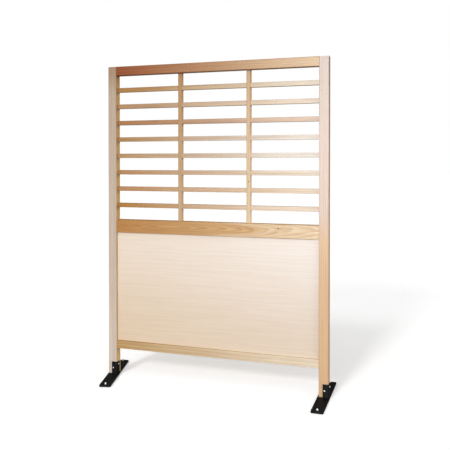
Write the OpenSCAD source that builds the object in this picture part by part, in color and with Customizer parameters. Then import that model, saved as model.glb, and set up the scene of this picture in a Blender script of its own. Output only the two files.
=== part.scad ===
// Free-standing lattice partition screen: a wooden frame with a lattice over a
// solid lower panel, held upright by a steel foot under each stile.
// Origin: on the floor, midway between the stiles. Front faces -Y, up is +Z.

/* [Overall] */
// Width over the outer faces of the stiles
screen_width = 1200; // [900:10:1500]
// Height from the floor to the top of the frame
screen_height = 1680; // [1400:10:2100]

/* [Frame] */
// Width of a stile's front face
stile_face = 48; // [36:1:60]
// Depth of the frame, front to back
frame_depth = 42; // [34:1:56]
// Height of the top rail's front face
top_rail_face = 48; // [40:1:80]
// Height of the mid rail's front face
mid_rail_face = 70; // [50:1:110]
// Height of the bottom rail's front face
bottom_rail_face = 44; // [40:1:80]
// Gap between the floor and the bottom rail
floor_gap = 150; // [90:5:250]
// Chamfer along the edges of the frame members
frame_arris = 1.2; // [0.4:0.1:2]
// Length of the rail tenons
rail_tenon_length = 30; // [20:1:34]
// Thickness of the rail tenons
rail_tenon_thick = 14; // [8:1:18]
// Shoulder above and below each rail tenon
rail_tenon_shoulder = 11; // [11:1:14]

/* [Lower panel] */
// Height of panel that shows between the mid rail and the bottom rail
panel_sight_height = 588; // [300:2:700]
// Thickness of the panel
panel_thick = 18; // [9:1:18]
// Depth that each edge of the panel is let into its groove
panel_insert = 8; // [5:1:9]

/* [Lattice] */
// Height of a slat's front face
slat_face = 24; // [16:1:30]
// Width of a muntin's front face
muntin_face = 22; // [16:1:30]
// Depth of the slats and muntins, which lie flush with the frame's back
lattice_depth = 22; // [16:1:28]
// Chamfer along the edges of the slats and muntins
lattice_arris = 0.8; // [0.2:0.1:1.5]
// Length of the slat and muntin tenons
lattice_tenon_length = 10; // [6:1:16]
// Thickness of the slat and muntin tenons
lattice_tenon_thick = 9; // [6:1:12]
// Shoulder on each side of a slat or muntin tenon
lattice_tenon_shoulder = 4; // [2:1:6]

/* [Base plates] */
// Length of a base plate, front to back
plate_length = 430; // [340:10:560]
// Turn of the left base plate about its stile, in degrees; above 0 its front end goes right
left_plate_turn = 14; // [-20:1:20]
// Turn of the right base plate about its stile, in degrees; above 0 its front end goes right
right_plate_turn = 0; // [-20:1:20]
// How far a base plate stands out past each side of its stile
plate_margin = 6; // [5:1:14]
// Thickness of a base plate
plate_thick = 8; // [6:1:12]
// Corner radius of a base plate
plate_corner_r = 8; // [3:1:14]

/* [Corner angles] */
// Length of each leg of the angle, measured over its outer faces
angle_leg = 32; // [28:1:38]
// Thickness of the angle's legs
angle_thick = 4; // [3:0.5:5]
// Height of the angle
angle_height = 64; // [56:1:90]
// Radius inside the bend of the angle
angle_bend_r = 2; // [1:0.5:3]

/* [Angle screws] */
// Shank diameter of the screws in the corner angle
angle_screw_d = 4; // [3:0.5:5]
// Length of the screws in the corner angle, under the head
angle_screw_length = 26; // [16:1:30]
// Head diameter of the screws in the corner angle
angle_screw_head_d = 8; // [7:0.5:10]
// Head height of the screws in the corner angle
angle_screw_head_h = 2.8; // [2:0.1:3.5]
// Distance from the front leg's free edge to its screw
front_screw_inset = 9; // [7:0.5:12]
// Height of the front leg's screw above the base plate
front_screw_height = 32; // [20:1:44]
// Height of the side leg's screw above the base plate
side_screw_height = 50; // [40:1:50]

/* [Base screws] */
// Shank diameter of the screws that come up through the base plate
base_screw_d = 5; // [4:0.5:6]
// Length of the base screws, head included
base_screw_length = 46; // [30:1:60]
// Head diameter of the base screws
base_screw_head_d = 10; // [8:0.5:11]
// Spacing of the two base screws, front to back
base_screw_spacing = 22; // [18:1:24]
// Distance of the base screws from the stile's middle, away from the angle
base_screw_offset = 10; // [8:0.5:12]

/* [Glides] */
// Diameter of a glide pad
glide_pad_d = 26; // [18:1:34]
// Thickness of a glide pad
glide_pad_thick = 3; // [2.5:0.5:5]
// Diameter of a glide stud
glide_stud_d = 6; // [5:0.5:8]
// Distance from the end of the plate to the middle of the glide
glide_inset = 20; // [18:1:50]
// Width across the flats of a cap nut
cap_nut_flats = 10; // [10:0.5:14]
// Height of a cap nut
cap_nut_height = 10; // [9:0.5:14]
// Height of a cap nut's six-sided part
cap_nut_hex_height = 5; // [3:0.5:6]
// Diameter of a cap nut's dome
cap_nut_dome_d = 9.6; // [8.5:0.1:10]
// Thickness of a cap nut's closed end
cap_nut_wall = 2.5; // [1.5:0.5:3]

/* [Fits] */
// Gap on each side of a tenon, a lap or the panel's edge
wood_fit_gap = 0.2; // [0.1:0.05:0.4]
// Space left past the end of a tenon, a screw or a stud
blind_end_gap = 1; // [0.5:0.1:2]
// Space left beside and above the panel's edge so that it can move
panel_edge_gap = 1.5; // [0.5:0.1:2.5]
// Gap on each side of a screw or stud in its hole
screw_fit_gap = 0.15; // [0.1:0.05:0.3]
// How much rounder the stile's corner is than the inside of the angle
angle_corner_gap = 0.5; // [0.3:0.1:1]

/* [Hidden] */
$fn = 48;
eps = 0.01;
slat_count = 8;
muntin_count = 2;
foot_ends = [-1, 1];

// Frame
stile_middle_x = (screen_width - stile_face) / 2;
inner_half = screen_width / 2 - stile_face;
inner_width = 2 * inner_half;
frame_front_y = -frame_depth / 2;
frame_back_y = frame_depth / 2;
plate_top_z = glide_pad_thick + plate_thick;
bottom_rail_top_z = floor_gap + bottom_rail_face;
mid_rail_bottom_z = bottom_rail_top_z + panel_sight_height;
mid_rail_top_z = mid_rail_bottom_z + mid_rail_face;
top_rail_bottom_z = screen_height - top_rail_face;

// Lattice
lattice_front_y = frame_back_y - lattice_depth;
lattice_middle_y = frame_back_y - lattice_depth / 2;
lattice_height = top_rail_bottom_z - mid_rail_top_z;
opening_height = (lattice_height - slat_count * slat_face) / (slat_count + 1);
opening_width = (inner_width - muntin_count * muntin_face) / (muntin_count + 1);
slat_tenon_face = slat_face - 2 * lattice_tenon_shoulder;
muntin_tenon_face = muntin_face - 2 * lattice_tenon_shoulder;

// Feet
plate_width = stile_face + 2 * plate_margin;
front_screw_z = plate_top_z + front_screw_height;
side_screw_z = plate_top_z + side_screw_height;
front_screw_x = stile_face / 2 + angle_thick - angle_leg + front_screw_inset;
side_screw_y = frame_front_y + (angle_leg - angle_thick) / 2;
angle_screw_hole_d = angle_screw_d + 2 * screw_fit_gap;
base_screw_hole_d = base_screw_d + 2 * screw_fit_gap;
glide_y = plate_length / 2 - glide_inset;
stud_hole_d = glide_stud_d + 2 * screw_fit_gap;
stud_seat_depth = glide_pad_thick / 2;
stud_bottom_z = glide_pad_thick - stud_seat_depth;
cap_nut_bore_depth = cap_nut_height - cap_nut_wall;
head_recess_depth = base_screw_head_d / 2 - base_screw_d / 2;

// Finishes
stile_color = [0.80, 0.72, 0.64];
rail_color = [0.74, 0.57, 0.40];
slat_color = [0.76, 0.60, 0.44];
muntin_color = [0.82, 0.70, 0.58];
panel_color = [0.91, 0.83, 0.73];
black_color = [0.10, 0.10, 0.11];
bright_color = [0.78, 0.78, 0.76];
nylon_color = [0.16, 0.16, 0.16];

slat_names = [for (index = [1 : slat_count]) str("slat_", index)];

// A box given by its lowest and highest corners
module block(low, high) {
    translate(low)
        cube(high - low);
}

// Outline of a bar's section, with its four corners chamfered
module chamfered_section(width, depth, arris) {
    half_w = width / 2;
    half_d = depth / 2;
    polygon([
        [-half_w + arris, -half_d],
        [half_w - arris, -half_d],
        [half_w, -half_d + arris],
        [half_w, half_d - arris],
        [half_w - arris, half_d],
        [-half_w + arris, half_d],
        [-half_w, half_d - arris],
        [-half_w, -half_d + arris]
    ]);
}

// A bar that stands up from the level z = 0, centred on the Z axis
module upright_bar(width, depth, height, arris) {
    linear_extrude(height)
        chamfered_section(width, depth, arris);
}

// A bar that lies along X, centred on the origin
module level_bar(length, face, depth, arris) {
    rotate([90, 0, 90])
        linear_extrude(length, center = true)
            rotate(90)
                chamfered_section(face, depth, arris);
}

// Lower edge of a slat, counted from the top
function slat_bottom_z(index) =
    top_rail_bottom_z - index * (opening_height + slat_face);

// Middle of a muntin, counted from the left
function muntin_middle_x(index) =
    -inner_half + index * opening_width + (index - 0.5) * muntin_face;

// Space for a rail's tenons in the stiles, or the tenons themselves
module rail_tenons(bottom_z, face, side_gap, end_gap) {
    reach = inner_half + rail_tenon_length + end_gap;
    half_thick = rail_tenon_thick / 2 + side_gap;
    block(
        [-reach, -half_thick, bottom_z + rail_tenon_shoulder - side_gap],
        [reach, half_thick, bottom_z + face - rail_tenon_shoulder + side_gap]
    );
}

// Space for a slat's tenons in the stiles, or the tenons themselves
module slat_tenons(index, side_gap, end_gap) {
    reach = inner_half + lattice_tenon_length + end_gap;
    half_thick = lattice_tenon_thick / 2 + side_gap;
    tenon_bottom_z = slat_bottom_z(index) + lattice_tenon_shoulder;
    block(
        [-reach, lattice_middle_y - half_thick, tenon_bottom_z - side_gap],
        [reach, lattice_middle_y + half_thick, tenon_bottom_z + slat_tenon_face + side_gap]
    );
}

// Space for a muntin's tenons in the rails, or the tenons themselves
module muntin_tenons(index, side_gap, end_gap) {
    half_face = muntin_tenon_face / 2 + side_gap;
    half_thick = lattice_tenon_thick / 2 + side_gap;
    overrun = lattice_tenon_length + end_gap;
    middle_x = muntin_middle_x(index);
    block(
        [middle_x - half_face, lattice_middle_y - half_thick, mid_rail_top_z - overrun],
        [middle_x + half_face, lattice_middle_y + half_thick, top_rail_bottom_z + overrun]
    );
}

// Space for the lower panel, with room to move at its sides and top
module panel_groove() {
    reach_x = inner_half + panel_insert + panel_edge_gap;
    half_thick = panel_thick / 2 + wood_fit_gap;
    block(
        [-reach_x, -half_thick, bottom_rail_top_z - panel_insert],
        [reach_x, half_thick, mid_rail_bottom_z + panel_insert + panel_edge_gap]
    );
}

// Cut that rounds the lowest stretch of a stile's front right corner, inside the angle
module stile_corner_relief() {
    corner = [stile_face / 2, frame_front_y];
    corner_r = angle_bend_r + angle_corner_gap;
    translate([0, 0, plate_top_z - eps])
        linear_extrude(angle_height + eps)
            difference() {
                translate(corner - [corner_r, eps])
                    square(corner_r + eps);
                translate(corner + [-corner_r, corner_r])
                    circle(corner_r);
            }
}

module stile(side) {
    difference() {
        translate([side * stile_middle_x, 0, plate_top_z])
            upright_bar(stile_face, frame_depth, screen_height - plate_top_z, frame_arris);
        rail_tenons(top_rail_bottom_z, top_rail_face, wood_fit_gap, blind_end_gap);
        rail_tenons(mid_rail_bottom_z, mid_rail_face, wood_fit_gap, blind_end_gap);
        rail_tenons(floor_gap, bottom_rail_face, wood_fit_gap, blind_end_gap);
        for (index = [1 : slat_count])
            slat_tenons(index, wood_fit_gap, blind_end_gap);
        panel_groove();
        translate([side * stile_middle_x, 0, 0]) {
            stile_corner_relief();
            front_screw_bore();
            side_screw_bore();
            base_screw_bores();
        }
    }
}

module rail(bottom_z, face) {
    union() {
        translate([0, 0, bottom_z + face / 2])
            level_bar(inner_width, face, frame_depth, frame_arris);
        rail_tenons(bottom_z, face, 0, 0);
    }
}

module left_stile() {
    color(stile_color)
        stile(-1);
}

module right_stile() {
    color(stile_color)
        stile(1);
}

module top_rail() {
    color(rail_color)
        difference() {
            rail(top_rail_bottom_z, top_rail_face);
            for (index = [1 : muntin_count])
                muntin_tenons(index, wood_fit_gap, blind_end_gap);
        }
}

module mid_rail() {
    color(rail_color)
        difference() {
            rail(mid_rail_bottom_z, mid_rail_face);
            panel_groove();
            for (index = [1 : muntin_count])
                muntin_tenons(index, wood_fit_gap, blind_end_gap);
        }
}

module bottom_rail() {
    color(rail_color)
        difference() {
            rail(floor_gap, bottom_rail_face);
            panel_groove();
        }
}

module lower_panel() {
    color(panel_color)
        block(
            [-inner_half - panel_insert, -panel_thick / 2, bottom_rail_top_z - panel_insert],
            [inner_half + panel_insert, panel_thick / 2, mid_rail_bottom_z + panel_insert]
        );
}

// Each slat is notched in front, where the muntins are let in
module slat(index) {
    bottom_z = slat_bottom_z(index);
    color(slat_color)
        difference() {
            union() {
                translate([0, lattice_middle_y, bottom_z + slat_face / 2])
                    level_bar(inner_width, slat_face, lattice_depth, lattice_arris);
                slat_tenons(index, 0, 0);
            }
            for (muntin_index = [1 : muntin_count])
                lap_notch(
                    muntin_middle_x(muntin_index),
                    muntin_face / 2 + wood_fit_gap,
                    [lattice_front_y - eps, lattice_middle_y],
                    [bottom_z - eps, bottom_z + slat_face + eps]
                );
        }
}

// Each muntin is notched behind, where it crosses the slats
module muntin(index) {
    middle_x = muntin_middle_x(index);
    color(muntin_color)
        difference() {
            union() {
                translate([middle_x, lattice_middle_y, mid_rail_top_z])
                    upright_bar(muntin_face, lattice_depth, lattice_height, lattice_arris);
                muntin_tenons(index, 0, 0);
            }
            for (slat_index = [1 : slat_count])
                lap_notch(
                    middle_x,
                    muntin_face / 2 + eps,
                    [lattice_middle_y, frame_back_y + eps],
                    [
                        slat_bottom_z(slat_index) - wood_fit_gap,
                        slat_bottom_z(slat_index) + slat_face + wood_fit_gap
                    ]
                );
        }
}

// Cut for half a lap joint, centred on middle_x
module lap_notch(middle_x, half_width, y_span, z_span) {
    block(
        [middle_x - half_width, y_span[0], z_span[0]],
        [middle_x + half_width, y_span[1], z_span[1]]
    );
}

module left_muntin() {
    muntin(1);
}

module right_muntin() {
    muntin(2);
}

// Outline of a rectangle with round corners, centred on the origin
module round_rectangle(width, length, corner_r) {
    square([width - 2 * corner_r, length], center = true);
    square([width, length - 2 * corner_r], center = true);
    for (x_side = [-1, 1], y_side = [-1, 1])
        translate([x_side * (width / 2 - corner_r), y_side * (length / 2 - corner_r)])
            circle(corner_r);
}

// Degrees that the base plate of a foot is turned about its stile
function plate_turn(side) = side < 0 ? left_plate_turn : right_plate_turn;

module base_plate(side) {
    color(black_color)
        difference() {
            translate([side * stile_middle_x, 0, glide_pad_thick])
                rotate(plate_turn(side))
                    linear_extrude(plate_thick)
                        round_rectangle(plate_width, plate_length, plate_corner_r);
            translate([side * stile_middle_x, 0, 0]) {
                base_screw_bores();
                base_screw_recesses();
            }
            at_glides(side)
                translate([0, 0, glide_pad_thick - eps])
                    cylinder(plate_thick + 2 * eps, d = stud_hole_d);
        }
}

module left_base_plate() {
    base_plate(-1);
}

module right_base_plate() {
    base_plate(1);
}

// Outline of the angle: two legs around the stile's front right corner
module angle_section() {
    outer = [stile_face / 2 + angle_thick, frame_front_y - angle_thick];
    outer_r = angle_bend_r + angle_thick;
    difference() {
        union() {
            translate(outer - [angle_leg, 0])
                square([angle_leg - outer_r, angle_leg]);
            translate(outer + [-angle_leg, outer_r])
                square([angle_leg, angle_leg - outer_r]);
            translate(outer + [-outer_r, outer_r])
                circle(outer_r);
        }
        translate(outer + [-angle_leg - eps, angle_thick + angle_bend_r])
            square([angle_leg - angle_thick + eps, angle_leg]);
        translate(outer + [-angle_leg - eps, angle_thick])
            square([angle_leg - outer_r + eps, angle_leg]);
        translate(outer + [-outer_r, outer_r])
            circle(angle_bend_r);
    }
}

module corner_angle(side) {
    color(black_color)
        translate([side * stile_middle_x, 0, 0])
            difference() {
                translate([0, 0, plate_top_z])
                    linear_extrude(angle_height)
                        angle_section();
                front_screw_bore();
                side_screw_bore();
            }
}

module left_corner_angle() {
    corner_angle(-1);
}

module right_corner_angle() {
    corner_angle(1);
}

// Turns a screw that stands on z = 0 so that it goes in from the front
module at_front_screw() {
    translate([front_screw_x, frame_front_y - angle_thick, front_screw_z])
        rotate([-90, 0, 0])
            children();
}

// Turns a screw that stands on z = 0 so that it goes in from the right
module at_side_screw() {
    translate([stile_face / 2 + angle_thick, side_screw_y, side_screw_z])
        rotate([0, -90, 0])
            children();
}

module angle_screw_bore() {
    translate([0, 0, -eps])
        cylinder(angle_screw_length + blind_end_gap, d = angle_screw_hole_d);
}

module front_screw_bore() {
    at_front_screw()
        angle_screw_bore();
}

module side_screw_bore() {
    at_side_screw()
        angle_screw_bore();
}

// A pan-headed screw: its head is below z = 0 and its shank points up
module angle_screw() {
    head_r = angle_screw_head_d / 2;
    shank_r = angle_screw_d / 2;
    tip_length = angle_screw_d;
    crown_r = angle_screw_head_h / 2;
    rotate_extrude()
        union() {
            square([shank_r, angle_screw_length - tip_length]);
            polygon([
                [0, angle_screw_length - tip_length],
                [shank_r, angle_screw_length - tip_length],
                [0, angle_screw_length]
            ]);
            translate([0, -angle_screw_head_h])
                square([head_r - crown_r, angle_screw_head_h]);
            translate([0, -crown_r])
                square([head_r, crown_r]);
            translate([head_r - crown_r, -crown_r])
                circle(crown_r);
        }
}

module front_screw(side) {
    color(bright_color)
        translate([side * stile_middle_x, 0, 0])
            at_front_screw()
                angle_screw();
}

module side_screw(side) {
    color(bright_color)
        translate([side * stile_middle_x, 0, 0])
            at_side_screw()
                angle_screw();
}

module left_front_screw() {
    front_screw(-1);
}

module right_front_screw() {
    front_screw(1);
}

module left_side_screw() {
    side_screw(-1);
}

module right_side_screw() {
    side_screw(1);
}

// Puts its children at the two base screws of a foot
module at_base_screws() {
    for (end = foot_ends)
        translate([-base_screw_offset, end * base_screw_spacing / 2, glide_pad_thick])
            children();
}

module base_screw_bores() {
    at_base_screws()
        translate([0, 0, -eps])
            cylinder(base_screw_length + blind_end_gap, d = base_screw_hole_d);
}

// Countersinks under the plate for the base screws
module base_screw_recesses() {
    recess_r = base_screw_head_d / 2 + screw_fit_gap;
    at_base_screws()
        translate([0, 0, -eps])
            cylinder(head_recess_depth, recess_r, base_screw_hole_d / 2);
}

module base_screws(side) {
    head_r = base_screw_head_d / 2;
    shank_r = base_screw_d / 2;
    tip_length = base_screw_d;
    color(bright_color)
        translate([side * stile_middle_x, 0, 0])
            at_base_screws()
                rotate_extrude()
                    polygon([
                        [0, 0],
                        [head_r, 0],
                        [shank_r, head_recess_depth],
                        [shank_r, base_screw_length - tip_length],
                        [0, base_screw_length]
                    ]);
}

module left_base_screws() {
    base_screws(-1);
}

module right_base_screws() {
    base_screws(1);
}

// Puts its children at the floor under the two glides of a foot
module at_glides(side) {
    translate([side * stile_middle_x, 0, 0])
        rotate(plate_turn(side))
            for (end = foot_ends)
                translate([0, end * glide_y, 0])
                    children();
}

module glide_pads(side) {
    color(nylon_color)
        at_glides(side)
            difference() {
                cylinder(glide_pad_thick, d = glide_pad_d);
                translate([0, 0, stud_bottom_z])
                    cylinder(stud_seat_depth + eps, d = stud_hole_d);
            }
}

module glide_studs(side) {
    stud_top_z = plate_top_z + cap_nut_bore_depth - blind_end_gap;
    color(bright_color)
        at_glides(side)
            translate([0, 0, stud_bottom_z])
                cylinder(stud_top_z - stud_bottom_z, d = glide_stud_d);
}

// Closed nuts with a domed top, screwed down on the studs
module cap_nuts(side) {
    hex_r = cap_nut_flats / sqrt(3);
    dome_r = cap_nut_dome_d / 2;
    dome_middle_z = cap_nut_height - dome_r;
    color(bright_color)
        at_glides(side)
            translate([0, 0, plate_top_z])
                difference() {
                    union() {
                        cylinder(cap_nut_hex_height, r = hex_r, $fn = 6);
                        cylinder(dome_middle_z, r = dome_r);
                        translate([0, 0, dome_middle_z])
                            sphere(dome_r);
                    }
                    translate([0, 0, -eps])
                        cylinder(cap_nut_bore_depth + eps, d = stud_hole_d);
                }
}

module left_glide_pads() {
    glide_pads(-1);
}

module right_glide_pads() {
    glide_pads(1);
}

module left_glide_studs() {
    glide_studs(-1);
}

module right_glide_studs() {
    glide_studs(1);
}

module left_cap_nuts() {
    cap_nuts(-1);
}

module right_cap_nuts() {
    cap_nuts(1);
}

left_stile();
right_stile();
top_rail();
mid_rail();
bottom_rail();
lower_panel();
for (index = [1 : slat_count])
    slat(index);
left_muntin();
right_muntin();
left_base_plate();
right_base_plate();
left_corner_angle();
right_corner_angle();
left_front_screw();
right_front_screw();
left_side_screw();
right_side_screw();
left_base_screws();
right_base_screws();
left_glide_pads();
right_glide_pads();
left_glide_studs();
right_glide_studs();
left_cap_nuts();
right_cap_nuts();
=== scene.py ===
"""Looks of a free-standing lattice partition screen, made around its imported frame.

The wooden members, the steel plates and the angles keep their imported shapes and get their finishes
here. The screws, cap nuts, glide pads and weld beads are modelled here in full.
"""
import math

import bmesh
import bpy
from mathutils import Matrix, Vector


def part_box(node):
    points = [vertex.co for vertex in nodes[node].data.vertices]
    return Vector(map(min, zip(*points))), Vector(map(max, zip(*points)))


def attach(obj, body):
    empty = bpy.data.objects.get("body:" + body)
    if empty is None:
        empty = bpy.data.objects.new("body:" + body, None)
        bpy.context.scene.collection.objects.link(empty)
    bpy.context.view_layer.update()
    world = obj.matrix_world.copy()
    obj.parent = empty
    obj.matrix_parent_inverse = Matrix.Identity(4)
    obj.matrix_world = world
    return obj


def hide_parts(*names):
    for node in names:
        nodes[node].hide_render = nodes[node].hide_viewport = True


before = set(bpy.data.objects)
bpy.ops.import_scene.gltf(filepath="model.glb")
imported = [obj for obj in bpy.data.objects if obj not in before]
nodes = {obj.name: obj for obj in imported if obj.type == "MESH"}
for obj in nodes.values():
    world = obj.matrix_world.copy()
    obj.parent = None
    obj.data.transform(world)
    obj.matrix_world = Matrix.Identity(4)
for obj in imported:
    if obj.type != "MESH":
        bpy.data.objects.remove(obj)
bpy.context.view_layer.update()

MM = 0.001
MM_PER_METRE = 1000.0
SAME_POINT = 0.01 * MM

# Camera. Tilt is its turn up from looking straight down, and swing its turn to the left, in degrees.
SENSOR_WIDTH = 36.0
FOCAL_LENGTH = 50.61
LENS_SHIFT = -0.12
CAMERA_PLACE = (1.077, -3.103, 1.157)
CAMERA_TILT = 89.3
CAMERA_SWING = 18.12

# Floor and light. A lamp's elevation, swing and spread are in degrees.
FLOOR_SIZE = 60.0
FLOOR_ALBEDO = 0.93
FLOOR_BOUNCE = 0.4
FLOOR_GLOW = 0.36
ROOM_ALL_ROUND = 0.16
ROOM_FRONT = 0.75
ROOM_LEFT = 0.1
ROOM_RIGHT = 0.5
ROOM_IN_GLOSS = 0.2
ROOM_FRONT_IN_GLOSS = 0.5
SCREEN_MIDDLE = 0.85
LAMP_DISTANCE = 5.0
FRONT_KEY = {"elevation": 11.0, "swing": 10.0, "strength": 1.36, "spread": 10.0}
SIDE_KEY = {"elevation": 12.0, "swing": -72.0, "strength": 0.85, "spread": 30.0}
BACK_KEY = {"elevation": 20.0, "swing": 213.0, "strength": 2.2, "spread": 30.0}
FLOOR_KEY = {"elevation": 28.0, "swing": 9.7, "strength": 1.45, "spread": 10.0}
FLOOR_FILL = {"elevation": 52.0, "swing": 9.7, "strength": 0.27, "spread": 24.0}
SHEEN_PLACE = (0.35, -4.2, 1.85)
SHEEN_WIDTH = 1.8
SHEEN_HEIGHT = 2.6
SHEEN_POWER = 800.0

# Wood. A pattern's scale is in repeats per metre: along the grain, then twice across it.
WANDER_SCALE = (2.2, 16.0, 16.0)
STREAK_SCALE = (3.0, 90.0, 90.0)
FIBRE_SCALE = (24.0, 1400.0, 1400.0)
PORE_SCALE = (90.0, 2600.0, 2600.0)
RING_DARKENS = (0.15, 0.85)
RING_ENDS = (0.88, 1.0)
STREAK_RANGE = (0.3, 0.7)
PORE_RANGE = (0.66, 0.74)
# How squarely a face looks along an axis: nearly at an edge, and on the flat.
SQUARE_ON = (0.8, 0.96)
FIBRE_STAIN = 0.35
PORE_STAIN = 0.3
ARRIS_STAIN = 0.6
END_GRAIN_STAIN = 0.8
VARNISH_SPECULAR = 0.2
VARNISH_ROUGHNESS = 0.34
FIBRE_ROUGHNESS = 0.14
FIBRE_HEIGHT = 0.6
FIBRE_BUMP = 0.12
FIBRE_RELIEF = 0.1 * MM
HEART_EDGE = 0.9 * MM
KNOT_CORE_EDGE = (0.7, 1.1)
KNOT_SWIRL_FALL = -0.28
KNOT_COLOR = (0.16, 0.055, 0.022, 1.0)
SEED_STEP = 1.37
RAIL_SEED = 3.0
STILE_SEED = 11.0
SLAT_SEED = 20.0
MUNTIN_SEED = 31.0
LATTICE_RINGS = 5.0
SLAT_WANDER = 14.0
SLAT_PITH_BEHIND = 60.0
SLAT_PITH_STEP = 7.0
MUNTIN_PITH_BEHIND = 70.0
MUNTIN_PITH_ACROSS = -30.0

# Steel, screws, glides and welds. A recess's sizes are shares of the head's radius, but a pan head's
# depth is one of its height. A screw's tip is a share of its shank's radius. CROWN_SHARE is how much
# of a pan head's radius is flat, and how much of its height is domed.
MOTTLE_RANGE = (0.3, 0.7)
CLOUD_IN_ROUGHNESS = 0.6
GRAIN_IN_ROUGHNESS = 0.4
COATING_BUMP = 0.6
STEEL_EDGE_RADIUS = 0.5 * MM
STEEL_EDGE_ANGLE = 40.0
SHARP_ANGLE = 32.0
SCREW_SEGMENTS = 24
CROWN_SHARE = 0.62
CROWN_STEPS = 5
RECESS_REACH = 0.5
RECESS_TAPER = 0.55
PAN_RECESS_WIDTH = 0.2
PAN_RECESS_DEPTH = 0.6
FLAT_CROWN_SHARE = 0.7
FLAT_RECESS_WIDTH = 0.18
FLAT_RECESS_DEPTH = 0.5
SCREW_TIP_SHARE = 0.3
ANGLE_SCREW_HEAD = 2.8 * MM
ANGLE_SCREW_SHANK = 2.0 * MM
BASE_SCREW_SHANK = 2.5 * MM
SCREW_CLEARANCE = 0.15 * MM
SCREW_SPINS = {
    "left_front_screw": 12.0,
    "left_side_screw": 57.0,
    "right_front_screw": 38.0,
    "right_side_screw": 75.0,
}
STUD_RADIUS = 3.0 * MM
STUD_SEAT_RADIUS = STUD_RADIUS + SCREW_CLEARANCE
STUD_SEAT_FLOOR = 1.5 * MM
GLIDE_PAD_RADIUS = 13.0 * MM
GLIDE_PAD_HEIGHT = 3.0 * MM
GLIDE_PAD_SEGMENTS = 48
# Radius and height along the pad's outline: its dished sole, then its rim, top and stud's seat.
GLIDE_PAD_SOLE = [
    (0.0, 0.4 * MM), (7.0 * MM, 0.4 * MM), (8.0 * MM, 0.0), (11.4 * MM, 0.0), (12.3 * MM, 0.25 * MM),
    (12.85 * MM, 0.85 * MM), (GLIDE_PAD_RADIUS, 1.6 * MM),
]
GLIDE_PAD_TOP = [
    (GLIDE_PAD_RADIUS, 2.6 * MM), (12.6 * MM, GLIDE_PAD_HEIGHT), (STUD_SEAT_RADIUS, GLIDE_PAD_HEIGHT),
    (STUD_SEAT_RADIUS, STUD_SEAT_FLOOR), (0.0, STUD_SEAT_FLOOR),
]
CAP_NUT_FLATS = 10.0 * MM
CAP_NUT_HEIGHT = 10.0 * MM
CAP_NUT_HEX_HEIGHT = 5.0 * MM
CAP_NUT_CHAMFER = 0.6 * MM
CAP_NUT_DOME = 9.6 * MM
CAP_NUT_DOME_STEPS = 6
CAP_NUT_DOME_TURN = 80.0
CAP_NUT_WALL = 2.5 * MM
ANGLE_OUTER_BEND = 6.0 * MM
WELD_LEG = 1.8 * MM
WELD_ROOT = 0.3 * MM
WELD_STEP = 0.6 * MM
WELD_RIPPLE = 2.4 * MM
WELD_RIPPLE_DEPTH = 0.16
WELD_END_SHARE = 0.45
WELD_END_GAP = 4.0 * MM
WELD_ARC_STEPS = 5

# Tones are display values. near is a board's left or lower end, far its right or upper end. Sizes
# are in mm, except for heights and places, which are in metres. The drift from near to far is partly
# the wood's own and partly painted highlight, paler where the light falls on the rails, slats and
# panel. The end tints and the right stile's heart tint are painted shade.
RAIL_LOOKS = {
    "top_rail": {
        "near": (147, 69, 0), "far": (196, 160, 98), "stain": (200, 150, 90),
        "ring_contrast": 0.24, "streaks": 0.3,
    },
    "mid_rail": {
        "near": (201, 156, 102), "far": (230, 205, 164),
        "rings": 5.0, "ring_contrast": 0.34, "streaks": 0.25, "wander": 18.0,
        "pith": (7.0, 4.0), "tilt": -0.05, "heart": 41.8, "heart_and_shade_tint": (240, 224, 188),
        "knot": ((0.348, 0.0, 0.832), 4.5),
    },
    "bottom_rail": {
        "near": (191, 156, 100), "far": (238, 225, 202),
        "rings": 9.0, "ring_contrast": 0.2, "streaks": 0.3,
    },
    # The panel's end tint is painted shade, darker toward its foot.
    "lower_panel": {
        "near": (235, 220, 203), "far": (237, 227, 220), "stain": (232, 218, 200),
        "rings": 14.0, "ring_contrast": 0.06, "streaks": 0.24, "end_shade_tint": (242, 234, 221),
    },
}
STILE_LOOKS = {
    "left_stile": {
        "near": (214, 200, 187), "far": (190, 171, 150), "ends": (0.2, 1.6),
        "rings": 9.0, "ring_contrast": 0.14, "streaks": 0.2,
        "pith": (20.0, 52.0), "heart": 47.0, "heart_and_shade_tint": (235, 210, 150),
        "end_shade_tint": (228, 212, 198), "end_span": (1.67, 1.5),
    },
    # The right stile's heart tint darkens its outer side and its end tint its top: both painted shade.
    "right_stile": {
        "near": (221, 184, 143), "far": (212, 187, 170), "ends": (0.77, 0.92),
        "rings": 7.0, "ring_contrast": 0.22, "streaks": 0.16, "wander": 15.0,
        "pith": (20.0, 54.0), "heart": 47.0, "heart_and_shade_tint": (205, 200, 190),
        "end_shade_tint": (225, 225, 225), "end_span": (1.67, 0.95),
    },
}
# Each slat's far tone is paler, partly as painted highlight.
SLAT_TONES = [
    ((176, 127, 54), (205, 191, 164)),
    ((180, 139, 95), (209, 190, 164)),
    ((171, 119, 68), (196, 165, 136)),
    ((178, 136, 76), (218, 209, 197)),
    ((189, 150, 101), (222, 216, 204)),
    ((179, 132, 79), (225, 210, 186)),
    ((185, 138, 87), (224, 204, 176)),
    ((179, 127, 36), (234, 219, 199)),
]
MUNTIN_LOOKS = {
    "left_muntin": {"near": (207, 180, 142), "far": (180, 138, 80)},
    "right_muntin": {"near": (226, 202, 163), "far": (191, 148, 86), "knot": ((0.189, 0.0, 1.063), 3.5)},
}


# ---------------------------------------------------------------- camera

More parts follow.
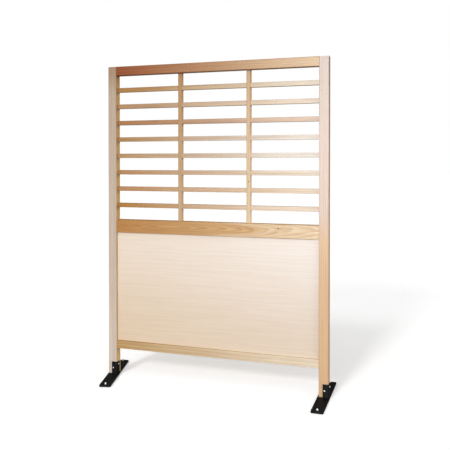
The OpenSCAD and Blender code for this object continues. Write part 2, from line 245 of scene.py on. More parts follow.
def make_camera():
    """Stands in front of the screen, to the right, at chest height, and looks very slightly down."""
    data = bpy.data.cameras.new("view_camera")
    data.sensor_width = SENSOR_WIDTH
    data.lens = FOCAL_LENGTH
    data.shift_y = LENS_SHIFT
    camera = bpy.data.objects.new("view_camera", data)
    camera.location = CAMERA_PLACE
    camera.rotation_euler = (math.radians(CAMERA_TILT), 0.0, math.radians(CAMERA_SWING))
    bpy.context.scene.collection.objects.link(camera)
    bpy.context.scene.camera = camera


make_camera()


# ---------------------------------------------------------------- node helpers

def set_inputs(node, inputs):
    """Sets or links each named input of a node: an output socket is linked, a value is set."""
    for name, value in inputs.items():
        socket = node.inputs[name]
        if isinstance(value, bpy.types.NodeSocket):
            node.id_data.links.new(value, socket)
        else:
            socket.default_value = value


def add_node(tree, kind, inputs=None, **settings):
    """Adds one shader node with its settings and inputs."""
    node = tree.nodes.new(kind)
    for name, value in settings.items():
        setattr(node, name, value)
    set_inputs(node, inputs or {})
    return node


def maths(tree, operation, first, second=0.0, third=0.0, clamp=False):
    """A Math node, given by its operation and its values in order."""
    node = add_node(tree, "ShaderNodeMath", {0: first, 1: second, 2: third}, operation=operation)
    node.use_clamp = clamp
    return node.outputs[0]


def mix_colors(tree, factor, first, second, blend="MIX"):
    """A colour Mix node: first where the factor is 0, second where it is 1. Its colour sockets have
    the same names as its number sockets, so they are picked by their place."""
    node = tree.nodes.new("ShaderNodeMix")
    node.data_type = "RGBA"
    node.blend_type = blend
    for index, value in ((0, factor), (6, first), (7, second)):
        if isinstance(value, bpy.types.NodeSocket):
            tree.links.new(value, node.inputs[index])
        else:
            node.inputs[index].default_value = value
    return node.outputs[2]


def remap(tree, value, low, high, to_low=0.0, to_high=1.0):
    """Smoothly maps a value from low..high to to_low..to_high."""
    inputs = {"Value": value, "From Min": low, "From Max": high, "To Min": to_low, "To Max": to_high}
    node = add_node(tree, "ShaderNodeMapRange", inputs, interpolation_type="SMOOTHSTEP")
    return node.outputs["Result"]


def stretched(tree, vector, scale):
    """Coordinates multiplied by a scale along each axis."""
    return add_node(tree, "ShaderNodeMapping", {"Vector": vector, "Scale": scale}).outputs["Vector"]


def noise(tree, vector, scale=1.0, detail=2.0, roughness=0.5):
    """Soft random values from 0 to 1."""
    inputs = {"Vector": vector, "Scale": scale, "Detail": detail, "Roughness": roughness}
    return add_node(tree, "ShaderNodeTexNoise", inputs).outputs["Fac"]


def new_group(name, inputs, outputs):
    """Starts a node group: inputs are (name, kind, default), outputs are (name, kind)."""
    group = bpy.data.node_groups.new(name, "ShaderNodeTree")
    for label, kind, default in inputs:
        socket = group.interface.new_socket(label, in_out="INPUT", socket_type=kind)
        if default is not None:
            socket.default_value = default
    for label, kind in outputs:
        group.interface.new_socket(label, in_out="OUTPUT", socket_type=kind)
    return group, group.nodes.new("NodeGroupInput").outputs, group.nodes.new("NodeGroupOutput")


def use_group(tree, group, inputs):
    """Places a node group in a material, with its own values."""
    node = tree.nodes.new("ShaderNodeGroup")
    node.node_tree = group
    set_inputs(node, inputs)
    return node.outputs


def srgb(red, green, blue):
    """A colour given in 0..255 display values, as linear RGBA."""
    def linear(value):
        share = value / 255.0
        return share / 12.92 if share <= 0.04045 else ((share + 0.055) / 1.055) ** 2.4
    return (linear(red), linear(green), linear(blue), 1.0)


# ---------------------------------------------------------------- wood

def build_knot_group():
    """A knot that runs through the board: a dark core, and a swirl that pushes the rings aside."""
    group, given, out = new_group(
        "knot",
        [("Vector", "NodeSocketVector", None), ("Center", "NodeSocketVector", None),
         ("Radius", "NodeSocketFloat", 0.004)],
        [("Core", "NodeSocketFloat"), ("Swirl", "NodeSocketFloat")],
    )
    away = add_node(group, "ShaderNodeVectorMath", {0: given["Vector"], 1: given["Center"]},
                    operation="SUBTRACT").outputs[0]
    flat = stretched(group, away, (1.0, 0.0, 1.0))
    distance = add_node(group, "ShaderNodeVectorMath", {0: flat}, operation="LENGTH").outputs["Value"]
    radii = maths(group, "DIVIDE", distance, given["Radius"])
    core = remap(group, radii, *KNOT_CORE_EDGE, 1.0, 0.0)
    fall = maths(group, "EXPONENT", maths(group, "MULTIPLY", radii, KNOT_SWIRL_FALL))
    set_inputs(out, {"Core": core, "Swirl": maths(group, "MULTIPLY", fall, given["Radius"])})
    return group


def build_timber_group():
    """Sawn and varnished wood with its grain along X: rings, heartwood, streaks, fibres and pores. Its
    tone drift along the board is partly painted highlight, and its end tint is painted shade.
    """
    group, given, out = new_group(
        "timber",
        [
            ("Vector", "NodeSocketVector", None),
            ("Normal", "NodeSocketVector", None),
            ("Along", "NodeSocketFloat", 0.0),
            ("Near End", "NodeSocketFloat", 0.0),
            ("Far End", "NodeSocketFloat", 1.0),
            ("Near Tone", "NodeSocketColor", (0.5, 0.3, 0.2, 1.0)),
            ("Far Tone", "NodeSocketColor", (0.5, 0.3, 0.2, 1.0)),
            ("Stain", "NodeSocketColor", (0.5, 0.35, 0.2, 1.0)),
            ("Ring Spacing", "NodeSocketFloat", 0.006),
            ("Ring Contrast", "NodeSocketFloat", 0.4),
            ("Streak Contrast", "NodeSocketFloat", 0.4),
            ("Wander", "NodeSocketFloat", 0.006),
            ("Heart Radius", "NodeSocketFloat", 0.0),
            ("Heart And Shade Tint", "NodeSocketColor", (1.0, 1.0, 1.0, 1.0)),
            ("Fade", "NodeSocketFloat", 0.0),
            ("Fade Tint", "NodeSocketColor", (1.0, 1.0, 1.0, 1.0)),
            ("Knot Core", "NodeSocketFloat", 0.0),
            ("Knot Swirl", "NodeSocketFloat", 0.0),
            ("End Grain", "NodeSocketFloat", 0.0),
        ],
        [("Color", "NodeSocketColor"), ("Roughness", "NodeSocketFloat"), ("Height", "NodeSocketFloat")],
    )
    where = given["Vector"]
    slow = noise(group, stretched(group, where, WANDER_SCALE), detail=3.0)
    push = maths(group, "MULTIPLY", maths(group, "SUBTRACT", slow, 0.5), given["Wander"])
    axes = add_node(group, "ShaderNodeSeparateXYZ", {"Vector": where}).outputs
    behind = maths(group, "POWER", axes["Y"], 2.0)
    aside = maths(group, "POWER", axes["Z"], 2.0)
    distance = maths(group, "ADD", maths(group, "SQRT", maths(group, "ADD", behind, aside)), push)
    distance = maths(group, "ADD", distance, given["Knot Swirl"])
    rings = maths(group, "FRACT", maths(group, "DIVIDE", distance, given["Ring Spacing"]))
    late = maths(group, "SUBTRACT", remap(group, rings, *RING_DARKENS), remap(group, rings, *RING_ENDS))
    streak = noise(group, stretched(group, where, STREAK_SCALE), detail=4.0, roughness=0.6)
    fibre = noise(group, stretched(group, where, FIBRE_SCALE), detail=3.0)
    pore = remap(group, noise(group, stretched(group, where, PORE_SCALE), detail=1.0), *PORE_RANGE)
    depth = maths(group, "MULTIPLY", late, given["Ring Contrast"])
    streaky = remap(group, streak, *STREAK_RANGE)
    depth = maths(group, "MULTIPLY_ADD", streaky, given["Streak Contrast"], depth)
    depth = maths(group, "MULTIPLY_ADD", maths(group, "SUBTRACT", fibre, 0.5), FIBRE_STAIN, depth)
    depth = maths(group, "MULTIPLY_ADD", pore, PORE_STAIN, depth)
    sides = add_node(group, "ShaderNodeVectorMath", {0: given["Normal"]}, operation="ABSOLUTE").outputs[0]
    faced = add_node(group, "ShaderNodeSeparateXYZ", {"Vector": sides}).outputs
    squarest = maths(group, "MAXIMUM", maths(group, "MAXIMUM", faced["X"], faced["Y"]), faced["Z"])
    arris = remap(group, squarest, *SQUARE_ON, 1.0, 0.0)
    depth = maths(group, "MULTIPLY_ADD", arris, ARRIS_STAIN, depth)
    depth = maths(group, "MULTIPLY_ADD", given["End Grain"], END_GRAIN_STAIN, depth, clamp=True)
    way = add_node(group, "ShaderNodeMapRange", {
        "Value": given["Along"], "From Min": given["Near End"], "From Max": given["Far End"],
    }).outputs["Result"]
    # Painted highlight, in part: the near to far drift pales the boards where the light falls; the rest is
    # the wood's own tone.
    tone = mix_colors(group, way, given["Near Tone"], given["Far Tone"])
    # Heartwood tint; on the right stile its zone covers the outer side, and there it is painted shade.
    edge = maths(group, "SUBTRACT", distance, given["Heart Radius"])
    heart = remap(group, edge, -HEART_EDGE, HEART_EDGE, 1.0, 0.0)
    tinted = mix_colors(group, 1.0, tone, given["Heart And Shade Tint"], "MULTIPLY")
    tone = mix_colors(group, heart, tone, tinted)
    # Painted shade: the end tint darkens the tone toward one end of the board.
    end_shaded = mix_colors(group, 1.0, tone, given["Fade Tint"], "MULTIPLY")
    tone = mix_colors(group, given["Fade"], tone, end_shaded)
    stained = mix_colors(group, 1.0, tone, given["Stain"], "MULTIPLY")
    color = mix_colors(group, depth, tone, stained)
    color = mix_colors(group, given["Knot Core"], color, KNOT_COLOR)
    dip = maths(group, "MULTIPLY", pore, -1.0)
    set_inputs(out, {
        "Color": color,
        "Roughness": maths(group, "MULTIPLY_ADD", fibre, FIBRE_ROUGHNESS, VARNISH_ROUGHNESS),
        "Height": maths(group, "MULTIPLY_ADD", fibre, FIBRE_HEIGHT, dip),
    })
    return group


timber = build_timber_group()
knot_figure = build_knot_group()


def wood(name, grain, seed, near, far, ends, rings=6.0, ring_contrast=0.25, streaks=0.3, wander=10.0,
         pith=(90.0, 60.0), tilt=0.0, heart=0.0, heart_and_shade_tint=(255, 255, 255), stain=(196, 158, 120),
         knot=None, end_shade_tint=None, end_span=(0.0, 1.0)):
    """A varnished board. grain is the axis its fibres run along and seed shifts its pattern. near and
    far are its tones at the two ends of the stretch given by ends; their drift is partly the wood's own
    and partly painted highlight. pith is how far behind the frame's middle and how far up or to the
    right the tree's middle lies, in mm, and tilt is its slope along the grain. heart is the heartwood's
    radius in mm, and the heart tint colours that zone; on the right stile the zone takes in the outer
    side, where the tint is painted shade. knot is a knot's middle, and its radius in mm. The end tint
    darkens the wood toward the first height of end_span, as painted shade."""
    material = bpy.data.materials.new(name)
    material.use_nodes = True
    tree = material.node_tree
    shader = tree.nodes["Principled BSDF"]
    given = tree.nodes.new("ShaderNodeTexCoord").outputs
    place = given["Object"]
    axes = add_node(tree, "ShaderNodeSeparateXYZ", {"Vector": place}).outputs
    faced = add_node(tree, "ShaderNodeSeparateXYZ", {"Vector": given["Normal"]}).outputs
    along = axes[grain]
    width = axes["Z"] if grain == "X" else axes["X"]
    depth = maths(tree, "MULTIPLY_ADD", along, tilt, maths(tree, "SUBTRACT", axes["Y"], pith[0] * MM))
    offset = maths(tree, "SUBTRACT", width, pith[1] * MM)
    shifted = maths(tree, "ADD", along, seed * SEED_STEP)
    grown = add_node(tree, "ShaderNodeCombineXYZ", {"X": shifted, "Y": depth, "Z": offset}).outputs[0]
    inputs = {
        "Vector": grown, "Normal": given["Normal"], "Along": along, "Near End": ends[0], "Far End": ends[1],
        "Near Tone": srgb(*near), "Far Tone": srgb(*far), "Stain": srgb(*stain),
        "Ring Spacing": rings * MM, "Ring Contrast": ring_contrast, "Streak Contrast": streaks,
        "Wander": wander * MM, "Heart Radius": heart * MM, "Heart And Shade Tint": srgb(*heart_and_shade_tint),
        "End Grain": remap(tree, maths(tree, "ABSOLUTE", faced[grain]), *SQUARE_ON),
    }
    if end_shade_tint:
        inputs["Fade"] = remap(tree, axes["Z"], *end_span, 1.0, 0.0)
        inputs["Fade Tint"] = srgb(*end_shade_tint)
    if knot:
        center, radius = knot
        swirl = use_group(tree, knot_figure, {"Vector": place, "Center": center, "Radius": radius * MM})
        inputs["Knot Core"] = swirl["Core"]
        inputs["Knot Swirl"] = swirl["Swirl"]
    made = use_group(tree, timber, inputs)
    bump = add_node(tree, "ShaderNodeBump", {
        "Height": made["Height"], "Strength": FIBRE_BUMP, "Distance": FIBRE_RELIEF,
    })
    set_inputs(shader, {
        "Base Color": made["Color"], "Roughness": made["Roughness"], "Normal": bump.outputs["Normal"],
        "Specular IOR Level": VARNISH_SPECULAR,
    })
    return material


def finish_node(node, material):
    """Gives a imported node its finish."""
    data = nodes[node].data
    data.materials.clear()
    data.materials.append(material)


def finish_rails():
    """The rails and the panel are boards on their sides. Their tones run from stile to stile, paler
    toward the right partly as painted highlight, and the panel's end tint is painted shade toward its foot.
    """
    low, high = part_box("top_rail")
    ends = (low[0], high[0])
    for seed, (node, look) in enumerate(RAIL_LOOKS.items()):
        low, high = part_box(node)
        middle = MM_PER_METRE * (low[2] + high[2]) / 2.0
        look = dict(look, end_span=(low[2], high[2]))
        behind, above = look.pop("pith", (90.0, 60.0))
        board = wood(f"{node}_wood", "X", RAIL_SEED + seed, ends=ends, pith=(behind, middle + above), **look)
        finish_node(node, board)


def finish_stiles():
    """The stiles are upright boards, each sawn beside its tree's heart. The right stile's heart tint is
    painted shade on its outer side, and both stiles' end tints are painted shade toward their tops.
    """
    for seed, (node, look) in enumerate(STILE_LOOKS.items()):
        low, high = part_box(node)
        middle = MM_PER_METRE * (low[0] + high[0]) / 2.0
        look = dict(look)
        behind, aside = look.pop("pith")
        board = wood(f"{node}_wood", "Z", STILE_SEED + seed, pith=(behind, middle + aside), **look)
        finish_node(node, board)


def finish_lattice():
    """Every slat and muntin is a board of its own, with its own tones and seed."""
    for number, (near, far) in enumerate(SLAT_TONES, start=1):
        low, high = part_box(f"slat_{number}")
        above = MM_PER_METRE * low[2] + SLAT_PITH_STEP * number
        board = wood(f"slat_{number}_wood", "X", SLAT_SEED + number, near, far, (low[0], high[0]),
                     rings=LATTICE_RINGS, pith=(SLAT_PITH_BEHIND, above), wander=SLAT_WANDER)
        finish_node(f"slat_{number}", board)
    for seed, (node, look) in enumerate(MUNTIN_LOOKS.items()):
        low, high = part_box(node)
        aside = MM_PER_METRE * low[0] + MUNTIN_PITH_ACROSS
        board = wood(f"{node}_wood", "Z", MUNTIN_SEED + seed, ends=(low[2], high[2]), rings=LATTICE_RINGS,
                     pith=(MUNTIN_PITH_BEHIND, aside), **look)
        finish_node(node, board)


# ---------------------------------------------------------------- metal and nylon

def build_hard_group():
    """A coated, plated or moulded surface: soft mottling, fine grain and a low relief."""
    group, given, out = new_group(
        "hard_surface",
        [
            ("Vector", "NodeSocketVector", None),
            ("Base", "NodeSocketColor", (0.5, 0.5, 0.5, 1.0)),
            ("Mottle", "NodeSocketColor", (0.4, 0.4, 0.4, 1.0)),
            ("Mottle Scale", "NodeSocketFloat", 60.0),
            ("Grain Scale", "NodeSocketFloat", 900.0),
            ("Smoothest", "NodeSocketFloat", 0.3),
            ("Roughest", "NodeSocketFloat", 0.5),
        ],
        [("Color", "NodeSocketColor"), ("Roughness", "NodeSocketFloat"), ("Height", "NodeSocketFloat")],
    )
    cloud = noise(group, given["Vector"], given["Mottle Scale"], detail=3.0)
    grain = noise(group, given["Vector"], given["Grain Scale"], detail=2.0)
    color = mix_colors(group, remap(group, cloud, *MOTTLE_RANGE), given["Base"], given["Mottle"])
    span = maths(group, "SUBTRACT", given["Roughest"], given["Smoothest"])
    clouded = maths(group, "MULTIPLY", cloud, CLOUD_IN_ROUGHNESS)
    uneven = maths(group, "MULTIPLY_ADD", grain, GRAIN_IN_ROUGHNESS, clouded)
    rough = maths(group, "MULTIPLY_ADD", uneven, span, given["Smoothest"])
    set_inputs(out, {"Color": color, "Roughness": rough, "Height": grain})
    return group


hard_surface = build_hard_group()


def hard_finish(name, base, mottle, mottle_scale, grain_scale, roughness, relief, specular, metallic=0.0):
    """A material from the hard_surface group. roughness is its smoothest and its roughest spots, and
    relief is the height of its grain, in mm."""
    material = bpy.data.materials.new(name)
    material.use_nodes = True
    tree = material.node_tree
    shader = tree.nodes["Principled BSDF"]
    made = use_group(tree, hard_surface, {
        "Vector": tree.nodes.new("ShaderNodeTexCoord").outputs["Object"], "Base": srgb(*base),
        "Mottle": srgb(*mottle), "Mottle Scale": mottle_scale, "Grain Scale": grain_scale,
        "Smoothest": roughness[0], "Roughest": roughness[1],
    })
    bump = add_node(tree, "ShaderNodeBump", {
        "Height": made["Height"], "Strength": COATING_BUMP, "Distance": relief * MM,
    })
    set_inputs(shader, {
        "Base Color": made["Color"], "Roughness": made["Roughness"], "Normal": bump.outputs["Normal"],
        "Metallic": metallic, "Specular IOR Level": specular,
    })
    return material


black_steel = hard_finish("black_powder_coat", base=(13, 13, 14), mottle=(20, 20, 21), mottle_scale=45.0,
                          grain_scale=1100.0, roughness=(0.5, 0.66), relief=0.05, specular=0.06)
bright_zinc = hard_finish("bright_zinc_plate", base=(240, 240, 236), mottle=(222, 221, 216),
                          mottle_scale=700.0, grain_scale=4000.0, roughness=(0.22, 0.5), relief=0.01,
                          specular=0.5, metallic=1.0)
black_nylon = hard_finish("black_nylon", base=(34, 34, 34), mottle=(42, 42, 42), mottle_scale=120.0,
                          grain_scale=2500.0, roughness=(0.5, 0.62), relief=0.03, specular=0.3)


def soften_edges(node):
    """Rounds the sheared edges of a steel part, which the coating leaves slightly soft."""
    weld = nodes[node].modifiers.new("joined_corners", "WELD")
    weld.merge_threshold = SAME_POINT
    bevel = nodes[node].modifiers.new("soft_edges", "BEVEL")
    bevel.width = STEEL_EDGE_RADIUS
    bevel.segments = 2
    bevel.limit_method = "ANGLE"
    bevel.angle_limit = math.radians(STEEL_EDGE_ANGLE)
    bevel.use_clamp_overlap = True
    bevel.harden_normals = False


def finish_feet():
    """Black coating with soft edges on the plates and angles, and zinc on the glides' studs."""
    for side in ("left", "right"):
        for part in ("base_plate", "corner_angle"):
            finish_node(f"{side}_{part}", black_steel)
            soften_edges(f"{side}_{part}")
        finish_node(f"{side}_glide_studs", bright_zinc)


finish_rails()
finish_stiles()
finish_lattice()
finish_feet()


# ---------------------------------------------------------------- fasteners, glides and welds

def new_piece(name, mesh, material, stands_for=None):
    """Turns a bmesh into a finished piece that rides on the screen."""
    bmesh.ops.recalc_face_normals(mesh, faces=mesh.faces)
    data = bpy.data.meshes.new(name)
    mesh.to_mesh(data)
    mesh.free()
    data.shade_smooth()
    data.set_sharp_from_angle(angle=math.radians(SHARP_ANGLE))
    data.materials.append(material)
    piece = bpy.data.objects.new(name, data)
    bpy.context.scene.collection.objects.link(piece)
    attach(piece, "root")
    if stands_for:
        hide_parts(stands_for)
    return piece


def open_edges(mesh, verts=None):
    """The edges at the rim of an open shape, or those of them that join these vertices."""
    chosen = [edge for edge in mesh.edges if len(edge.link_faces) < 2]
    if verts is not None:
        chosen = [edge for edge in chosen if edge.verts[0] in verts and edge.verts[1] in verts]
    return chosen


def grow_rim(mesh, rim, radius, height):
    """Extends a rim of edges to a circle of this radius at this height, and returns the new rim."""
    grown = bmesh.ops.extrude_edge_only(mesh, edges=rim)["geom"]
    verts = [part for part in grown if isinstance(part, bmesh.types.BMVert)]
    for vert in verts:
        flat = vert.co.xy.normalized() * radius
        vert.co = (flat.x, flat.y, height)
    return [part for part in grown if isinstance(part, bmesh.types.BMEdge) and len(part.link_faces) < 2]


def cross_recess(mesh, arm, width, depth):
    """The tapered cross that a driver fits, with its mouth at height 0. A flat grid loses its corners,
    narrows to the cross's arms and is drawn down. Its lid is then taken off."""
    bmesh.ops.create_grid(mesh, x_segments=3, y_segments=3, size=arm)
    corners = []
    for face in mesh.faces:
        center = face.calc_center_median()
        if min(abs(center.x), abs(center.y)) > 0.5 * arm:
            corners.append(face)
    bmesh.ops.delete(mesh, geom=corners, context="FACES")
    for vert in mesh.verts:
        for axis in (0, 1):
            if abs(vert.co[axis]) < 0.9 * arm:
                vert.co[axis] = math.copysign(width / 2.0, vert.co[axis])
    bmesh.ops.subdivide_edges(mesh, edges=open_edges(mesh), cuts=1)
    lid = list(mesh.faces)
    floor_part = bmesh.ops.extrude_face_region(mesh, geom=lid)["geom"]
    sunk = [part for part in floor_part if isinstance(part, bmesh.types.BMVert)]
    bmesh.ops.scale(mesh, vec=(RECESS_TAPER, RECESS_TAPER, 1.0), verts=sunk)
    bmesh.ops.translate(mesh, vec=(0.0, 0.0, -depth), verts=sunk)
    bmesh.ops.delete(mesh, geom=lid, context="FACES")


def screw(arm, arm_width, recess_depth, profile):
    """A cross-recessed screw with its crown at height 0 and its shank down -Z. profile is a list of
    radius and height, from the rim of its crown to its tip."""
    mesh = bmesh.new()
    cross_recess(mesh, arm, arm_width, recess_depth)
    bmesh.ops.create_circle(mesh, segments=SCREW_SEGMENTS, radius=profile[0][0])
    crown = [vert for vert in mesh.verts if not vert.link_faces]
    bmesh.ops.bridge_loops(mesh, edges=open_edges(mesh))
    rim = open_edges(mesh, set(crown))
    for radius, height in profile[1:]:
        rim = grow_rim(mesh, rim, radius, height)
    bmesh.ops.holes_fill(mesh, edges=rim)
    return mesh


def add_to(mesh, extra, matrix):
    """Moves a finished bmesh into place and adds it to another."""
    bmesh.ops.transform(extra, matrix=matrix, verts=extra.verts)
    data = bpy.data.meshes.new("passing")
    extra.to_mesh(data)
    extra.free()
    mesh.from_mesh(data)
    bpy.data.meshes.remove(data)


def pan_screw(head_radius, head_height, shank_radius, length):
    """A pan-head screw: a low domed head over a straight shank with a short point."""
    crown = head_radius * CROWN_SHARE
    under = -head_height
    profile = [(crown, 0.0)]
    for step in range(1, CROWN_STEPS + 1):
        turn = math.radians(90.0 * step / CROWN_STEPS)
        out = crown + (head_radius - crown) * math.sin(turn)
        profile.append((out, under * CROWN_SHARE * (1.0 - math.cos(turn))))
    profile += [(head_radius, under), (shank_radius, under), (shank_radius, under - length + shank_radius)]
    profile.append((shank_radius * SCREW_TIP_SHARE, under - length))
    arm_width = head_radius * PAN_RECESS_WIDTH
    return screw(head_radius * RECESS_REACH, arm_width, head_height * PAN_RECESS_DEPTH, profile)


def flat_screw(head_radius, shank_radius, length):
    """A countersunk screw, flush with the face that it goes into."""
    cone = shank_radius - head_radius
    profile = [(head_radius * FLAT_CROWN_SHARE, 0.0), (head_radius, 0.0), (shank_radius, cone)]
    profile += [(shank_radius, shank_radius - length), (shank_radius * SCREW_TIP_SHARE, -length)]
    arm_width = head_radius * FLAT_RECESS_WIDTH
    return screw(head_radius * RECESS_REACH, arm_width, head_radius * FLAT_RECESS_DEPTH, profile)


def turned_to(direction):
    """The turn that brings +Z to this direction."""
    return Vector(direction).to_track_quat("Z", "Y").to_matrix().to_4x4()


def make_angle_screws(side):
    """The two screws through a corner angle's legs into its stile."""
    for part, axis, sign in (("front_screw", 1, -1.0), ("side_screw", 0, 1.0)):
        low, high = (Vector(corner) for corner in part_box(f"{side}_{part}"))
        middle = (low + high) / 2.0
        size = high - low
        head_radius = size.z / 2.0
        crown = low[axis] if sign < 0.0 else high[axis]
        middle[axis] = crown
        direction = [0.0, 0.0, 0.0]
        direction[axis] = sign
        mesh = bmesh.new()
        made = pan_screw(head_radius, ANGLE_SCREW_HEAD, ANGLE_SCREW_SHANK, size[axis] - ANGLE_SCREW_HEAD)
        spin = Matrix.Rotation(math.radians(SCREW_SPINS[f"{side}_{part}"]), 4, "Z")
        add_to(mesh, made, Matrix.Translation(middle) @ turned_to(direction) @ spin)
        new_piece(f"{side}_{part}_zinc", mesh, bright_zinc, f"{side}_{part}")


def make_base_screws(side):
    """The two screws up through a base plate into its stile."""
    low, high = (Vector(corner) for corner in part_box(f"{side}_base_screws"))
    head_radius = (high.x - low.x) / 2.0
    mesh = bmesh.new()
    for y in (low.y + head_radius, high.y - head_radius):
        place = Matrix.Translation(((low.x + high.x) / 2.0, y, low.z))
        made = flat_screw(head_radius, BASE_SCREW_SHANK, high.z - low.z)
        add_to(mesh, made, place @ turned_to((0.0, 0.0, -1.0)))
    new_piece(f"{side}_base_screws_zinc", mesh, bright_zinc, f"{side}_base_screws")


def glide_places(side):
    """The middles of a foot's two glides on the floor, and the turn of its plate."""
    low, high = (Vector(corner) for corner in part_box(f"{side}_glide_pads"))
    middle = (low + high) / 2.0
    reach = (high - low) / 2.0 - Vector((GLIDE_PAD_RADIUS, GLIDE_PAD_RADIUS, 0.0))
    turn = math.atan2(reach.x, reach.y)
    places = [(middle.x + way * reach.x, middle.y - way * reach.y) for way in (1.0, -1.0)]
    return places, turn


def cap_nut():
    """A closed cap nut standing at height 0: a six-sided foot, a turned dome and a blind bore."""
    mesh = bmesh.new()
    bmesh.ops.create_circle(mesh, segments=6, radius=CAP_NUT_FLATS / 2.0 / math.cos(math.radians(30.0)))
    bmesh.ops.subdivide_edges(mesh, edges=list(mesh.edges), cuts=3)
    foot = list(mesh.edges)
    grown = bmesh.ops.extrude_edge_only(mesh, edges=foot)["geom"]
    upper = [part for part in grown if isinstance(part, bmesh.types.BMVert)]
    bmesh.ops.translate(mesh, vec=(0.0, 0.0, CAP_NUT_HEX_HEIGHT - CAP_NUT_CHAMFER), verts=upper)
    rim = open_edges(mesh, set(upper))
    rim = grow_rim(mesh, rim, CAP_NUT_FLATS / 2.0, CAP_NUT_HEX_HEIGHT)
    dome = CAP_NUT_DOME / 2.0
    rim = grow_rim(mesh, rim, dome, CAP_NUT_HEX_HEIGHT)
    spring = CAP_NUT_HEIGHT - dome
    for step in range(CAP_NUT_DOME_STEPS + 1):
        turn = math.radians(CAP_NUT_DOME_TURN * step / CAP_NUT_DOME_STEPS)
        rim = grow_rim(mesh, rim, dome * math.cos(turn), spring + dome * math.sin(turn))
    tip = bmesh.ops.holes_fill(mesh, edges=rim)["faces"]
    raised = bmesh.ops.poke(mesh, faces=tip)["verts"]
    for vert in raised:
        vert.co.z = CAP_NUT_HEIGHT
    rim = open_edges(mesh)
    for height in (0.0, CAP_NUT_HEIGHT - CAP_NUT_WALL):
        rim = grow_rim(mesh, rim, STUD_SEAT_RADIUS, height)
    bmesh.ops.holes_fill(mesh, edges=rim)
    return mesh


def glide_pad():
    """A moulded glide pad standing at height 0, with a dished sole, a soft rim and the stud's seat."""
    mesh = bmesh.new()
    verts = [mesh.verts.new((radius, 0.0, height)) for radius, height in GLIDE_PAD_SOLE + GLIDE_PAD_TOP]
    edges = [mesh.edges.new(pair) for pair in zip(verts, verts[1:])]
    bmesh.ops.spin(mesh, geom=verts + edges, cent=(0.0, 0.0, 0.0), axis=(0.0, 0.0, 1.0),
                   angle=math.radians(360.0), steps=GLIDE_PAD_SEGMENTS, use_merge=True)
    bmesh.ops.remove_doubles(mesh, verts=mesh.verts, dist=SAME_POINT)
    return mesh


def make_glides(side):
    """The cap nuts over a base plate and the pads under it."""
    places, turn = glide_places(side)
    nuts = bmesh.new()
    pads = bmesh.new()
    nut_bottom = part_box(f"{side}_cap_nuts")[0][2]
    for x, y in places:
        add_to(nuts, cap_nut(), Matrix.Translation((x, y, nut_bottom)) @ Matrix.Rotation(turn, 4, "Z"))
        add_to(pads, glide_pad(), Matrix.Translation((x, y, 0.0)))
    new_piece(f"{side}_cap_nuts_zinc", nuts, bright_zinc, f"{side}_cap_nuts")
    new_piece(f"{side}_glide_pads_nylon", pads, black_nylon, f"{side}_glide_pads")


def weld_path(side):
    """Points along the foot of the angle's outer faces, each with the way that the face looks."""
    low, high = (Vector(corner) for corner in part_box(f"{side}_corner_angle"))
    bend = ANGLE_OUTER_BEND
    rear = high.y - WELD_END_GAP
    runs = []
    steps = int((rear - low.y - bend) / WELD_STEP)
    for step in range(steps):
        runs.append((Vector((high.x, rear - step * WELD_STEP, low.z)), Vector((1.0, 0.0, 0.0))))
    center = Vector((high.x - bend, low.y + bend, low.z))
    steps = int(math.pi / 2.0 * bend / WELD_STEP)
    for step in range(steps + 1):
        turn = math.pi / 2.0 * step / steps
        out = Vector((math.cos(turn), -math.sin(turn), 0.0))
        runs.append((center + out * bend, out))
    steps = int((high.x - bend - low.x - WELD_END_GAP) / WELD_STEP)
    for step in range(1, steps):
        runs.append((Vector((high.x - bend - step * WELD_STEP, low.y, low.z)), Vector((0.0, -1.0, 0.0))))
    return runs


def make_weld(side):
    """A small fillet weld with its ripples, along the foot of the corner angle."""
    mesh = bmesh.new()
    path = weld_path(side)
    section = []
    for count, (point, out) in enumerate(path):
        ends_in = min(count, len(path) - 1 - count) * WELD_STEP
        fade = min(1.0, WELD_END_SHARE + (1.0 - WELD_END_SHARE) * ends_in / WELD_LEG)
        ripple = 1.0 - WELD_RIPPLE_DEPTH * abs(math.sin(math.pi * count * WELD_STEP / WELD_RIPPLE))
        leg = WELD_LEG * fade * ripple
        spots = [point - out * WELD_ROOT - Vector((0.0, 0.0, WELD_ROOT))]
        for step in range(WELD_ARC_STEPS + 1):
            turn = math.radians(90.0 * step / WELD_ARC_STEPS)
            spots.append(point + out * leg * math.sin(turn) + Vector((0.0, 0.0, leg * math.cos(turn))))
        if not section:
            section = [mesh.verts.new(spot) for spot in spots]
            mesh.faces.new(section)
            rim = list(mesh.edges)
            continue
        grown = bmesh.ops.extrude_edge_only(mesh, edges=rim)["geom"]
        rim = [part for part in grown if isinstance(part, bmesh.types.BMEdge) and len(part.link_faces) < 2]
        section = [part for part in grown if isinstance(part, bmesh.types.BMVert)]
        for vert, spot in zip(section, spots):
            vert.co = spot
    bmesh.ops.holes_fill(mesh, edges=rim)
    new_piece(f"{side}_angle_weld", mesh, black_steel)


for foot in ("left", "right"):
    make_angle_screws(foot)
    make_base_screws(foot)
    make_glides(foot)
    make_weld(foot)


# ---------------------------------------------------------------- floor and light

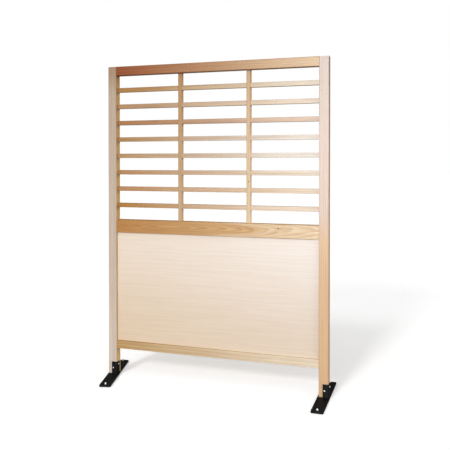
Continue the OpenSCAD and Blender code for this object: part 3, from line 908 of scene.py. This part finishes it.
def floor_finish():
    """Pale matt paint, which the lens sees as a lit studio floor and which throws back less light."""
    material = bpy.data.materials.new("floor_paint")
    material.use_nodes = True
    tree = material.node_tree
    tree.nodes.remove(tree.nodes["Principled BSDF"])
    seen = tree.nodes.new("ShaderNodeLightPath").outputs["Is Camera Ray"]
    albedo = add_node(tree, "ShaderNodeMix", {0: seen, 2: FLOOR_BOUNCE, 3: FLOOR_ALBEDO}).outputs[0]
    glow = maths(tree, "MULTIPLY", seen, FLOOR_GLOW)
    paint = add_node(tree, "ShaderNodeBsdfDiffuse", {"Color": albedo})
    lift = add_node(tree, "ShaderNodeEmission", {"Strength": glow})
    both = add_node(tree, "ShaderNodeAddShader", {0: paint.outputs[0], 1: lift.outputs[0]})
    tree.links.new(both.outputs[0], tree.nodes["Material Output"].inputs["Surface"])
    return material


def make_floor():
    """A wide studio floor, which isn't part of the screen."""
    mesh = bmesh.new()
    bmesh.ops.create_grid(mesh, x_segments=1, y_segments=1, size=FLOOR_SIZE)
    data = bpy.data.meshes.new("floor")
    mesh.to_mesh(data)
    mesh.free()
    floor = bpy.data.objects.new("floor", data)
    bpy.context.scene.collection.objects.link(floor)
    data.materials.append(floor_finish())
    return floor


def make_world():
    """A studio lit mostly from the front, which shows as plain white."""
    world = bpy.data.worlds.new("studio_room")
    bpy.context.scene.world = world
    world.use_nodes = True
    tree = world.node_tree
    background = tree.nodes["Background"]
    direction = tree.nodes.new("ShaderNodeTexCoord").outputs["Generated"]
    axes = add_node(tree, "ShaderNodeSeparateXYZ", {"Vector": direction}).outputs
    light = ROOM_ALL_ROUND
    for axis, sign, share in (("Y", -1.0, ROOM_FRONT), ("X", -1.0, ROOM_LEFT), ("X", 1.0, ROOM_RIGHT)):
        toward = maths(tree, "MAXIMUM", maths(tree, "MULTIPLY", axes[axis], sign), 0.0)
        light = maths(tree, "MULTIPLY_ADD", toward, share, light)
    rays = tree.nodes.new("ShaderNodeLightPath").outputs
    front = maths(tree, "MAXIMUM", maths(tree, "MULTIPLY", axes["Y"], -1.0), 0.0)
    gloss = maths(tree, "MULTIPLY_ADD", front, ROOM_FRONT_IN_GLOSS, ROOM_IN_GLOSS)
    dimmed = add_node(tree, "ShaderNodeMix", {0: rays["Is Glossy Ray"], 2: light, 3: gloss}).outputs[0]
    strength = add_node(tree, "ShaderNodeMix", {0: rays["Is Camera Ray"], 2: dimmed, 3: 1.0}).outputs[0]
    background.inputs["Color"].default_value = (1.0, 1.0, 1.0, 1.0)
    tree.links.new(strength, background.inputs["Strength"])


def add_light(name, kind, place, energy, **settings):
    """A lamp at a place, which looks at the middle of the screen."""
    data = bpy.data.lights.new(name, kind)
    data.energy = energy
    for key, value in settings.items():
        setattr(data, key, value)
    lamp = bpy.data.objects.new(name, data)
    lamp.location = place
    aim = Vector((0.0, 0.0, SCREEN_MIDDLE)) - lamp.location
    lamp.rotation_euler = aim.to_track_quat("-Z", "Y").to_euler()
    bpy.context.scene.collection.objects.link(lamp)
    return lamp


def add_sun(name, elevation, swing, strength, spread):
    """A far soft lamp: elevation above the floor, and swing to the left from straight in front, in
    degrees."""
    rise = math.radians(elevation)
    turn = math.radians(swing)
    level = math.cos(rise)
    toward_lamp = Vector((-math.sin(turn) * level, -math.cos(turn) * level, math.sin(rise)))
    place = toward_lamp * LAMP_DISTANCE + Vector((0.0, 0.0, SCREEN_MIDDLE))
    return add_light(name, "SUN", place, strength, angle=math.radians(spread))


def light_only(lamp, objects, state):
    """Makes a lamp light only these objects (INCLUDE), or everything but them (EXCLUDE)."""
    group = bpy.data.collections.new(lamp.name + "_receivers")
    for item in objects:
        group.objects.link(item)
    for member in group.collection_objects:
        member.light_linking.link_state = state
    lamp.light_linking.receiver_collection = group


def make_lights(floor):
    """Low keys from the front, the right and the back for the screen, two higher lamps for its floor
    shadow, and a softbox for sheen."""
    front = add_sun("front_key", **FRONT_KEY)
    front.visible_glossy = False
    light_only(front, [floor], "EXCLUDE")
    for name, key in (("side_key", SIDE_KEY), ("back_key", BACK_KEY)):
        lamp = add_sun(name, **key)
        lamp.visible_glossy = False
        light_only(lamp, [floor], "EXCLUDE")
    light_only(add_sun("floor_key", **FLOOR_KEY), [floor], "INCLUDE")
    light_only(add_sun("floor_fill", **FLOOR_FILL), [floor], "INCLUDE")
    sheen = add_light("sheen_light", "AREA", SHEEN_PLACE, SHEEN_POWER, shape="RECTANGLE", size=SHEEN_WIDTH,
                      size_y=SHEEN_HEIGHT)
    sheen.visible_diffuse = False


floor = make_floor()
make_world()
make_lights(floor)
bpy.context.scene.view_settings.view_transform = "Standard"
